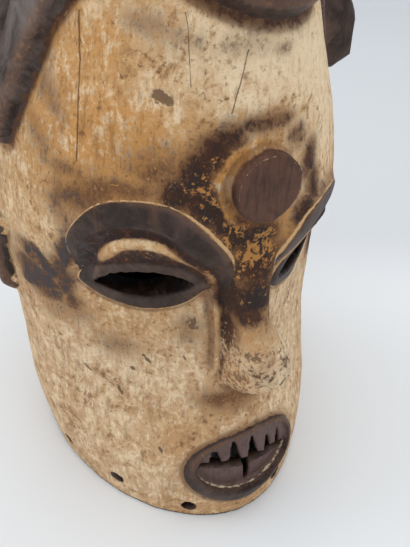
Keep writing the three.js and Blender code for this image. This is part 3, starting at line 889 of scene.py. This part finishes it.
# %% Thinning
TRIANGLES = 190000
THINNING = {"inside": 0.9, "outside_less": 0.2, "front_less": 0.6, "back_less": 0.2}
mask = bpy.data.objects.new("carved_mask", raw)
bpy.context.scene.collection.objects.link(mask)
level, _ = plain_form(points[:, 0], points[:, 1], points[:, 2])
on_outside = step(level, -5, -2)
carved_front = step(points[:, 1], -20, -50) * on_outside
carved_back = step(points[:, 1], 30, 60) * on_outside
weight = THINNING["inside"] - THINNING["outside_less"] * on_outside
weight -= THINNING["front_less"] * carved_front + THINNING["back_less"] * carved_back
weight = np.clip(weight, 0, 1)
group = mask.vertex_groups.new(name="thinning")
for amount in np.unique(np.round(weight, 1)):
    members = np.nonzero(np.round(weight, 1) == amount)[0].tolist()
    group.add(members, float(amount), "REPLACE")
thin = mask.modifiers.new("thin", "DECIMATE")
thin.ratio = TRIANGLES / sum(len(face) - 2 for face in faces)
thin.vertex_group = group.name
thin.vertex_group_factor = 1.0
evaluated = mask.evaluated_get(bpy.context.evaluated_depsgraph_get())
thinned = bpy.data.meshes.new_from_object(evaluated)
mask.modifiers.clear()
mask.vertex_groups.clear()
mask.data = thinned
bpy.data.meshes.remove(raw)
thinned.name = "carved_mask"
print("thinned to", len(thinned.polygons), "faces")

# %% A flat rim, and smooth shading
FLAT_BELOW = 0.4
coords = np.empty(len(thinned.vertices) * 3)
thinned.vertices.foreach_get("co", coords)
coords = coords.reshape(-1, 3) / MM
coords[:, 2] = np.where(coords[:, 2] < FLAT_BELOW, 0, coords[:, 2])
thinned.vertices.foreach_set("co", (coords * MM).ravel())
thinned.polygons.foreach_set("use_smooth", [True] * len(thinned.polygons))
thinned.update()
print("points on the flat rim:", int((coords[:, 2] == 0).sum()))

# %% [markdown]
# ## Where the paint is
# The paint could be a picture wrapped round the mask, but this file stands alone. So each point
# of the mesh is given the map's paint layers, as plain numbers that the finish then reads. The
# dark paint and the disc are how deep inside them the point lies, in millimetres. Smoke with
# painted shade, ochre, crevices and knocks are strengths, and the worn and highlit edge is half
# the width of a pale line in millimetres.

# %% Layers from the map
rear_half = coords[:, 1] > 0
flip = np.where(rear_half, -1.0, 1.0)
point_x, point_y, point_z = coords[:, 0] * flip, coords[:, 1] * flip, coords[:, 2]
layers = {
    "dark_paint": dark, "disc": disc, "smoke_and_shade": smoke_and_shade, "ochre": ochre, "crevice": crevice,
    "knock": knock, "worn": worn,
}
away, found = carved_distance(point_x, point_y, point_z, list(layers.values()))
layers = dict(zip(layers, found))
print(len(layers), "layers on", len(point_x), "points")

# %% [markdown]
# Some layers follow the solid and not the map. The crest and the crown are dark all over. The
# teeth keep their own look on their front faces, while their ends and sides and the block's top
# take the near-black of the inside, as painted shade and dirt. The inside of the wall is smoked
# bare wood in near-black, which is partly painted shade, and the rim is painted dark as painted
# shade where the mask meets the floor. The mouth layer is how far a point lies from the line
# where the lip meets the teeth, in millimetres. Soot surrounds each hole, because the holes were
# burnt, and the walls of the eye slits are painted near-black like the inside, as painted shade.

# %% Layers that follow the solid
CREST_PAINT, CROWN_LINE = 2.5, 322
BURNT_RING = 0.9
on_crest = CREST_PAINT - crest_distance(point_x, point_y, point_z)
dark_here = np.maximum(layers["dark_paint"], np.clip(on_crest * 4, -FAR, FAR))
dark_here = np.maximum(dark_here, np.clip(point_z - CROWN_LINE, -FAR, FAR))
at_front = point_y < FRONT
mouth_gap = oval_gap(point_x, point_z, *LIP_CREST.values())
# The teeth's and the block's front faces get the tooth colour. Deeper in the mouth, the ends and sides of
# the teeth and the block's top take the near-black inside colour: painted shade and dirt.
face_here = TOOTH_FACE - BLOCK_SET_BACK * (point_z < np.interp(point_x, block_x, block_z) + 0.5)
near_face = step(away - face_here, -2.6, -0.9) * (away < 4) * at_front
in_mouth = step(mouth_gap, -0.4, -1.4) * near_face
layers["teeth"] = in_mouth
# the inside of the wall: smoked bare wood, painted near-black, partly as painted shade
inside = step(away, -1.6, -4.5) * (1 - in_mouth) * step(point_z, 0.1, 0.3) * step(on_crest, 1, -1)
layers["inside"] = inside
# painted shade: a dark band on the lowest 3 mm, where the mask meets the floor
layers["rim"] = step(point_z, 3, 0.5)
from_teeth = np.minimum(np.hypot(mouth_gap + LIP_INSET, away - 1.2), FAR)
layers["mouth"] = np.where(at_front, from_teeth, FAR)
lower_lip = step(layers["mouth"], 4, 2) * step(point_z - 0.12 * point_x, 58, 51)
layers["worn"] = np.maximum(layers["worn"], 0.75 * lower_lip)
for through, place, height, side in HOLES:
    across = point_x - side * place if through == "front" else point_y - place
    near_side = at_front if through == "front" else point_x * side > HOLE_START["side"] - 5
    burnt = HOLE_RADIUS + BURNT_RING - np.hypot(across, point_z - height)
    dark_here = np.maximum(dark_here, np.where(near_side, burnt, -FAR))
layers["dark_paint"] = dark_here
for eye in EYES:
    slit = almond(point_x, point_z, eye["across"], eye["height"], *SLIT.values(), eye["slant"])
    # painted shade: the walls of the slit are painted near-black like the inside
    in_slit = step(slit, 0.9, 0.2) * step(away, 2.2, 1.4)
    layers["inside"] = np.maximum(layers["inside"], in_slit)
for name, values in layers.items():
    store = thinned.attributes.new(name, "FLOAT", "POINT")
    store.data.foreach_set("value", np.asarray(values, dtype=np.float32))
print("paint layers:", ", ".join(layers))

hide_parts("helmet_mask")
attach(mask, "root")

# %% [markdown]
# ## The finish
# The wood was whitened with kaolin, a soft white clay, which smoke, palm oil and handling have
# turned tan: rough, matt and streaked along the grain. What stands out is paler, partly rubbed and
# partly a painted highlight, and crevices are darker, partly grime and partly painted shade. Brows,
# eye rims, lips and hair are painted near-black, a thin paint that has dulled to a grey sheen and
# worn through on sharp edges, with a painted highlight on its crests. The disc is bare reddish
# wood, oiled. Inside, the bare, smoke-blackened wood is painted near-black, which is partly painted
# shade. It is all one material, because it is all one piece of wood.

# %% Colours, and a helper for nodes
HEX_COLOURS = {
    "kaolin tan": "#C79C6B",
    "kaolin pale": "#F3DBB6",
    "highlight and rubbed edge": "#D6AF7F",
    "ochre stain": "#C89050",
    "brown stain and shade": "#6E4A2E",
    "cheek grey": "#BD9873",
    "smoke brown": "#5C3C26",
    "red soot": "#5B3826",
    "soot_and_shade": "#35231B",
    "soot blue": "#2A2627",
    "slate": "#4A4A4E",
    "chip orange": "#C08748",
    "paint black": "#2B1D16",
    "paint grey": "#503D34",
    "worn paint": "#7E5F4E",
    "wood brown": "#6B4835",
    "tooth brown": "#66504A",
    "painted sheen grey": "#A09995",
    "disc wood": "#614031",
    "disc dark": "#38251C",
    "smoked inside and shade": "#120C09",
}


def linear(code):
    """An sRGB hex colour as the linear colour that a shader takes."""
    parts = [int(code[i:i + 2], 16) / 255 for i in (1, 3, 5)]
    return [c / 12.92 if c <= 0.04045 else ((c + 0.055) / 1.055) ** 2.4 for c in parts] + [1.0]


COLOURS = {name: linear(code) for name, code in HEX_COLOURS.items()}
material = bpy.data.materials.new("kaolin_whitened_painted_wood")
material.use_nodes = True
tree = material.node_tree
tree.nodes.clear()


def add(kind, inputs=None, output=0, **settings):
    """Adds a node with its settings, sets or links its inputs, and returns an output if any."""
    node = tree.nodes.new("ShaderNode" + kind)
    for name, value in settings.items():
        setattr(node, name, value)
    for key, value in (inputs or {}).items():
        socket = node.inputs[key]
        if isinstance(value, bpy.types.NodeSocket):
            tree.links.new(value, socket)
        else:
            socket.default_value = value
    return node.outputs[output] if node.outputs else None


paint = {name: add("Attribute", output="Fac", attribute_name=name) for name in layers}
place = add("TexCoord", output="Object")
print("material reads", len(paint), "paint layers")

# %% [markdown]
# Patterns are given by their real size. A noise of scale one repeats about once a metre, so a
# pattern of so many millimetres has the scale 1000 over that. Fibres run up the log, so their
# pattern is stretched upwards, and old scrapes run slantwise.

# %% Patterns
upright = add("Mapping", {"Vector": place, "Scale": (1.0, 1.0, 0.14)})
slanting = add("Mapping", {"Vector": place, "Rotation": (0.3, 0.5, 0.4), "Scale": (1.0, 1.0, 0.3)})


def pattern(size, detail, roughness, where=place, twist=0.0):
    """Noise about so many millimetres across, spread from 0 to 1."""
    noise = add("TexNoise", {"Vector": where, "Scale": 1000 / size, "Detail": detail,
                             "Roughness": roughness, "Distortion": twist})
    return add("MapRange", {"Value": noise, "From Min": 0.28, "From Max": 0.72})


broad = pattern(48, 3, 0.55)
mottle = pattern(15, 9, 0.68, twist=0.6)
patchy = pattern(6, 8, 0.7, twist=0.8)
flecks = pattern(2.4, 5, 0.65)
dust = pattern(1.1, 3, 0.6)
fibre = pattern(1.8, 5, 0.6, upright)
streak = pattern(8, 7, 0.66, upright)
scrape = pattern(5, 7, 0.7, slanting, 0.5)

# %% [markdown]
# A finish like this is built up in coats, each laid over the last one wherever some mixture of
# patterns and paint layers passes a level. A small step between the two levels gives the coat a
# crisp, flaked edge and a wide one lets it fade.

# %% Coats, and the chalk
def weighted(*parts):
    """The sum of values, each times its weight."""
    total = 0.0
    for value, weight in parts:
        total = add("Math", {0: value, 1: weight, 2: total}, operation="MULTIPLY_ADD")
    return total


def coat(under, colour, where, start, end, strength=1.0):
    """One colour over another: none of it at start, and its full strength at end."""
    share = add("MapRange", {"Value": where, "From Min": start, "From Max": end, "To Max": strength},
                interpolation_type="SMOOTHSTEP")
    return add("MixRGB", {"Fac": share, "Color1": under, "Color2": colour})


def coats(under, rows):
    """Several coats in turn, each a colour's name, a mixture, two levels and a full strength."""
    for colour, mixture, start, end, strength in rows:
        under = coat(under, COLOURS[colour], weighted(*mixture), start, end, strength)
    return under


height = add("SeparateXYZ", {0: place}, output="Z")
tone, crevices, smudge_and_shade = paint["ochre"], paint["crevice"], paint["smoke_and_shade"]
chalk = coats(COLOURS["kaolin tan"], [
    # clouds of ochre, a greyer cheek, and chalk that has stayed pale
    ("ochre stain", [(tone, 0.5), (mottle, 0.45), (broad, 0.2)], 0.25, 0.85, 0.85),
    ("chip orange", [(tone, 1.0), (patchy, 0.5)], 1.2, 1.9, 0.8),
    ("cheek grey", [(height, -8.0), (broad, 0.5)], -1.3, -0.8, 0.6),
    ("kaolin pale", [(patchy, 0.45), (mottle, 0.3), (scrape, 0.25), (tone, -0.2)], 0.3, 0.85, 0.75),
    ("kaolin pale", [(patchy, 0.5), (scrape, 0.5), (tone, -0.1)], 0.62, 0.7, 0.3),
    ("ochre stain", [(mottle, 0.6), (patchy, 0.4), (tone, 0.1)], 0.6, 0.85, 0.6),
    # scuffs, pale where one pattern is high and brown where it is low
    ("kaolin pale", [(mottle, 0.45), (patchy, 0.3), (flecks, 0.25)], 0.52, 0.7, 0.6),
    ("brown stain and shade", [(mottle, 0.45), (patchy, 0.3), (flecks, 0.25)], 0.46, 0.26, 0.55),
    # streaks and fibres along the grain, flecks, scrapes and dust
    ("brown stain and shade", [(streak, 1.0), (tone, 0.05)], 0.6, 1.1, 0.5),
    ("brown stain and shade", [(fibre, 1.0), (mottle, 0.4)], 0.75, 1.2, 0.4),
    ("brown stain and shade", [(flecks, -1.0), (mottle, -0.4)], -0.5, -0.25, 0.6),
    ("kaolin pale", [(scrape, 1.0)], 0.7, 0.9, 0.4),
    ("brown stain and shade", [(dust, 1.0)], 0.3, 0.05, 0.35),
    # crests painted paler, partly rubbed and partly a painted highlight; crevices painted darker, partly
    # grime and partly painted shade; and the palest chalk last
    ("highlight and rubbed edge", [(crevices, -1.0), (patchy, 0.4)], 0.5, 1.1, 0.35),
    ("brown stain and shade", [(crevices, 1.0), (mottle, 0.3)], 0.25, 0.8, 0.55),
    ("kaolin pale", [(tone, -1.0), (patchy, 0.5)], 0.9, 1.9, 0.45),
])
print("the chalk's coats bring the finish to", len(tree.nodes), "nodes")

# %% [markdown]
# Soot isn't one black. It is blue-black in some patches and red-brown in others, slate grey at
# the mask's right temple, and it has flaked down to orange wood here and there. A brown haze
# lies round it. The knocks, and the tip of the nose, are speckled pale and brown.

# %% Smoke and knocks
x_place = add("SeparateXYZ", {0: place}, output="X")
soot_and_shade = coats(COLOURS["soot_and_shade"], [
    ("soot blue", [(mottle, 1.0)], 0.3, 0.8, 1.0),
    ("red soot", [(patchy, 1.0)], 0.45, 0.9, 0.8),
    ("chip orange", [(patchy, 0.45), (mottle, 0.25), (flecks, 0.3), (tone, 0.25)], 0.73, 0.84, 0.85),
    ("slate", [(x_place, -10.0), (patchy, 0.3)], 0.75, 0.95, 0.7),
])
ragged = [(smudge_and_shade, 1.0), (mottle, 0.3), (patchy, 0.45), (flecks, 0.3), (scrape, 0.25)]
# The smoke layer also holds painted shade, so these coats darken the creases under the brows and over the
# folds, the groove by the nose and the lids, as well as the soot.
face = coats(chalk, [
    ("smoke brown", [(smudge_and_shade, 1.0), (mottle, 0.5), (patchy, 0.2)], 0.4, 1.35, 0.85),
    ("red soot", ragged, 1.0, 1.4, 0.75),
])
face = coat(face, soot_and_shade, weighted(*ragged), 1.25, 1.5, 0.93)
face = coats(face, [
    ("kaolin pale", [(paint["knock"], 1.0), (flecks, -0.6), (patchy, -0.6)], -0.14, 0.1, 0.4),
    ("smoke brown", [(paint["knock"], 1.0), (flecks, 0.6), (patchy, 0.6)], 1.1, 1.3, 0.8),
])
print("with the smoke it has", len(tree.nodes), "nodes")

# %% [markdown]
# A few fine cracks run down the front of the forehead, where the log has dried. Each is a
# straight line that the grain's own pattern makes waver, and a compare node is 1 on it.

# %% Cracks in the forehead
FOREHEAD_FRONT, GRAIN_WAVER = -20, 1.2
y_place = add("SeparateXYZ", {0: place}, output="Y")
in_front = add("Math", {0: y_place, 1: FOREHEAD_FRONT * MM}, operation="LESS_THAN")
CRACKS = [
    # across at its foot, foot, across at its head, head, half its width, in millimetres
    (-68, 236, -57, 296, 0.3),
    (-13, 264, -6.5, 288, 0.28),
    (-27, 274, -27, 300, 0.14),
    (56, 222, 50, 262, 0.25),
]
cracked = 0.0
for foot_x, foot_z, head_x, head_z, width in CRACKS:
    lean = (head_x - foot_x) / (head_z - foot_z)
    line = weighted((x_place, 1.0), (height, -lean), (streak, GRAIN_WAVER * MM))
    at_ground = foot_x - lean * foot_z + GRAIN_WAVER / 2
    on_line = add("Math", {0: line, 1: at_ground * MM, 2: width * MM}, operation="COMPARE")
    middle, reach = (head_z + foot_z) / 2, (head_z - foot_z) / 2
    in_span = add("Math", {0: height, 1: middle * MM, 2: reach * MM}, operation="COMPARE")
    here = add("Math", {0: on_line, 1: in_span}, operation="MULTIPLY")
    cracked = add("Math", {0: here, 1: cracked}, operation="MAXIMUM")
cracked = add("Math", {0: cracked, 1: in_front}, operation="MULTIPLY")
face = coats(face, [("soot_and_shade", [(cracked, 1.0), (patchy, 0.4)], 0.8, 1.3, 0.75)])
print(len(CRACKS), "cracks")

# %% [markdown]
# The dark paint is brown-black with a grey bloom and streaked where the wood shows through. High
# up on the mask's right it is painted lighter, as a painted grey sheen. What stands out is painted
# lighter, as a painted highlight, and it is chipped. The disc's wood has darkened along its own grain.

# %% Dark paint and the disc
black = coats(COLOURS["paint black"], [
    ("paint grey", [(mottle, 1.0)], 0.2, 0.9, 1.0),
    ("wood brown", [(streak, 1.0)], 0.6, 1.0, 0.35),
    # painted sheen: the paint is greyer high up on the mask's right
    ("painted sheen grey", [(x_place, -8.0), (height, 4.0), (mottle, 0.4)], 1.7, 2.3, 0.45),
    # painted highlight: the paint is lighter on its crests
    ("worn paint", [(crevices, -1.0), (patchy, 0.4)], 0.3, 1.1, 0.4),
    ("chip orange", [(crevices, -1.0), (flecks, 0.6)], 1.25, 1.7, 0.45),
])
face = coat(face, black, weighted((paint["dark_paint"], 1.0), (flecks, 0.7)), 0.0, 0.7)
coin = coats(COLOURS["disc wood"], [("disc dark", [(fibre, 0.5), (mottle, 0.5)], 0.2, 0.9, 1.0)])
face = coat(face, coin, weighted((paint["disc"], 1.0), (flecks, 0.3)), -0.4, 0.2)
print("with the paint it has", len(tree.nodes), "nodes")

# %% [markdown]
# Sharp edges have a thin pale line beside the edge of the paint or of the disc, partly worn
# through to the chalk and partly a painted highlight, and its half width in millimetres is a
# layer of its own. The teeth are brown wood under old paint. A few beads of kaolin are left
# where the lower lip meets the block.

# %% Worn edges with a painted highlight, mouth and inside
DISC_BEVEL = 1.8
from_paint = add("Math", {0: paint["dark_paint"], 1: paint["worn"]}, operation="ADD")
from_paint = add("Math", {0: from_paint}, operation="ABSOLUTE")
from_disc = add("Math", {0: paint["disc"], 1: DISC_BEVEL}, operation="SUBTRACT")
from_disc = add("Math", {0: from_disc}, operation="ABSOLUTE")
from_edge = add("Math", {0: from_paint, 1: from_disc}, operation="MINIMUM")
edge_line = [(paint["worn"], 1.0), (from_edge, -1.0), (flecks, 0.6), (patchy, 0.4)]
face = coats(face, [("highlight and rubbed edge", edge_line, 0.65, 1.05, 0.85)])
tooth = coats(COLOURS["tooth brown"], [("paint black", [(fibre, 0.4), (patchy, 0.6)], 0.3, 0.9, 0.5)])
face = coat(face, tooth, paint["teeth"], 0, 1)
beads = [(paint["worn"], 1.6), (paint["mouth"], -1.0), (patchy, 1.5), (flecks, 0.4)]
face = coats(face, [("kaolin pale", beads, 1.2, 2.0, 0.65)])
# the inside, the slits' walls and the deep parts of the mouth: smoked wood in near-black, partly painted
# shade
bare_wood_and_shade = coats(COLOURS["smoked inside and shade"], [("wood brown", [(streak, 1.0)], 0.2, 1.2, 0.5)])
face = coat(face, bare_wood_and_shade, paint["inside"], 0, 1)
# painted shade along the rim, where the mask meets the floor
face = coats(face, [("soot_and_shade", [(paint["rim"], 1.0), (mottle, 0.3)], 0.4, 0.9, 0.85)])
print("with the mouth, the inside and the rim it has", len(tree.nodes), "nodes")

# %% [markdown]
# Chalk is matt, at a roughness of 0.85. Old paint and the handled disc have a low sheen, at
# 0.5. Wood and dry paint have an IOR of about 1.45, and the shine is turned down further because
# the surface is porous and dusty. Fibres, flaking chalk and cracks are a few tenths of a
# millimetre deep, too fine for the mesh, so they are bump.

# %% Surface
ROUGHNESS = {"chalk": 0.85, "paint": 0.5}
WOOD_IOR, POROUS_SHINE = 1.45, 0.3
BUMP_DEPTH, BUMP_STRENGTH = 0.45, 0.6
sheen = add("Math", {0: paint["dark_paint"], 1: paint["disc"]}, operation="MAXIMUM")
sheen = add("Math", {0: sheen, 1: paint["inside"]}, operation="SUBTRACT")
roughness = add("MapRange", {"Value": sheen, "From Min": -0.2, "From Max": 0.6,
                             "To Min": ROUGHNESS["chalk"], "To Max": ROUGHNESS["paint"]})
fine = weighted((fibre, 0.35), (flecks, 0.5), (mottle, 0.6), (patchy, 0.4), (cracked, -1.5))
bump = add("Bump", {"Height": fine, "Strength": BUMP_STRENGTH, "Distance": BUMP_DEPTH * MM})
surface = add("BsdfPrincipled", {"Base Color": face, "Roughness": roughness, "IOR": WOOD_IOR,
                                 "Specular IOR Level": POROUS_SHINE, "Normal": bump})
add("OutputMaterial", {"Surface": surface})
mask.data.materials.clear()
mask.data.materials.append(material)
print("the finish has", len(tree.nodes), "nodes")

# %% [markdown]
# ## Floor, light and camera
# The mask stands on plain, very pale paper that curves up far behind, under wide soft light
# from above. The paper is painted a little darker behind the mask, as painted shade. The floor's
# sizes are in metres.

# %% Floor
PAPER = {"near": "#E9ECEE", "far": "#D5D8DB", "darker_from": 0.1, "darker_to": 0.25, "roughness": 0.9}
FLOOR = {"front": -3.0, "bend": 1.6, "radius": 0.9, "top": 4.0, "half_width": 4.0, "turn": -25}
PROFILE = [
    (FLOOR["front"], 0.0), (PAPER["darker_from"], 0.0), (PAPER["darker_to"], 0.0),
    (FLOOR["bend"], 0.0),
]
for angle in np.radians(np.arange(10, 91, 10)):
    far = FLOOR["bend"] + FLOOR["radius"] * math.sin(angle)
    PROFILE.append((far, FLOOR["radius"] * (1 - math.cos(angle))))
PROFILE.append((FLOOR["bend"] + FLOOR["radius"], FLOOR["top"]))
floor_mesh = bpy.data.meshes.new("floor")
n = len(PROFILE)
edges = (-FLOOR["half_width"], FLOOR["half_width"])
floor_points = [(side, far, up) for side in edges for far, up in PROFILE]
floor_mesh.from_pydata(floor_points, [], [(i + 1, i + n + 1, i + n, i) for i in range(n - 1)])
floor_mesh.polygons.foreach_set("use_smooth", [True] * (n - 1))
floor = bpy.data.objects.new("floor", floor_mesh)
floor.rotation_euler.z = math.radians(FLOOR["turn"])
bpy.context.scene.collection.objects.link(floor)
matt = bpy.data.materials.new("pale_paper")
matt.use_nodes = True
tree = matt.node_tree
behind = add("SeparateXYZ", {0: add("TexCoord", output="Object")}, output="Y")
# painted shade: the paper darkens from 0.1 to 0.25 m behind the mask
paper = coat(linear(PAPER["near"]), linear(PAPER["far"]), behind, PAPER["darker_from"], PAPER["darker_to"])
backing = tree.nodes["Principled BSDF"]
tree.links.new(paper, backing.inputs["Base Color"])
backing.inputs["Roughness"].default_value = PAPER["roughness"]
floor_mesh.materials.append(matt)
print("the floor has", len(floor_mesh.polygons), "strips")

# %% Light
def lamp(name, at, aim, size, power, colour):
    """A square soft lamp at one place, aimed at another, in metres and watts."""
    light = bpy.data.lights.new(name, "AREA")
    light.shape, light.size, light.energy, light.color = "SQUARE", size, power, colour
    holder = bpy.data.objects.new(name, light)
    holder.location = at
    holder.rotation_euler = (Vector(aim) - Vector(at)).to_track_quat("-Z", "Y").to_euler()
    bpy.context.scene.collection.objects.link(holder)


lamp("ceiling", (0.1, -0.2, 2.6), (0, 0, 0.1), 3.0, 33, (1.0, 0.98, 0.95))
lamp("window", (-1.5, 0.9, 1.4), (0, 0, 0.2), 1.2, 7, (0.97, 0.98, 1.0))
ROOM = {"Color": (0.93, 0.96, 1.0, 1.0), "Strength": 0.75}
world = bpy.data.worlds.new("room")
world.use_nodes = True
for key, value in ROOM.items():
    world.node_tree.nodes["Background"].inputs[key].default_value = value
bpy.context.scene.world = world
bpy.context.scene.view_settings.view_transform = "Standard"
print("two lamps and a pale room")

# %% [markdown]
# The camera was found by matching the mask's rim, eyes, mouth and disc to the photograph. Its
# angles are in degrees and its distances in millimetres, and its focal length is in pixels of
# the photograph, so the lens is worked out from the photograph's height.

# %% Camera
CAMERA = {"azimuth": -24.6, "elevation": 34.7, "distance": 415.4, "roll": 0.8, "focal_px": 580.0}
AIM = {"across": 29.6, "height": 106.2}
IMAGE_HEIGHT, SENSOR = 547, 36.0
azimuth, elevation, tilt = (math.radians(CAMERA[k]) for k in ("azimuth", "elevation", "roll"))
right = Vector((math.cos(azimuth), math.sin(azimuth), 0))
level_back = Vector((math.sin(azimuth), -math.cos(azimuth), 0))
back = level_back * math.cos(elevation) + Vector((0, 0, math.sin(elevation)))
up = back.cross(right)
rolled_right = right * math.cos(tilt) + up * math.sin(tilt)
rolled_up = back.cross(rolled_right)
aim = right * AIM["across"] + Vector((0, 0, AIM["height"]))
camera_data = bpy.data.cameras.new("camera")
camera_data.sensor_width = SENSOR
camera_data.lens = CAMERA["focal_px"] / IMAGE_HEIGHT * SENSOR
camera_data.clip_start = 0.01
camera = bpy.data.objects.new("camera", camera_data)
place_matrix = Matrix((rolled_right, rolled_up, back)).transposed().to_4x4()
place_matrix.translation = (aim + back * CAMERA["distance"]) * MM
camera.matrix_world = place_matrix
bpy.context.scene.collection.objects.link(camera)
bpy.context.scene.camera = camera
print("camera at", [round(v, 3) for v in place_matrix.translation])
print("its lens is", round(camera_data.lens, 1), "mm")

# %% The end
bpy.context.view_layer.update()
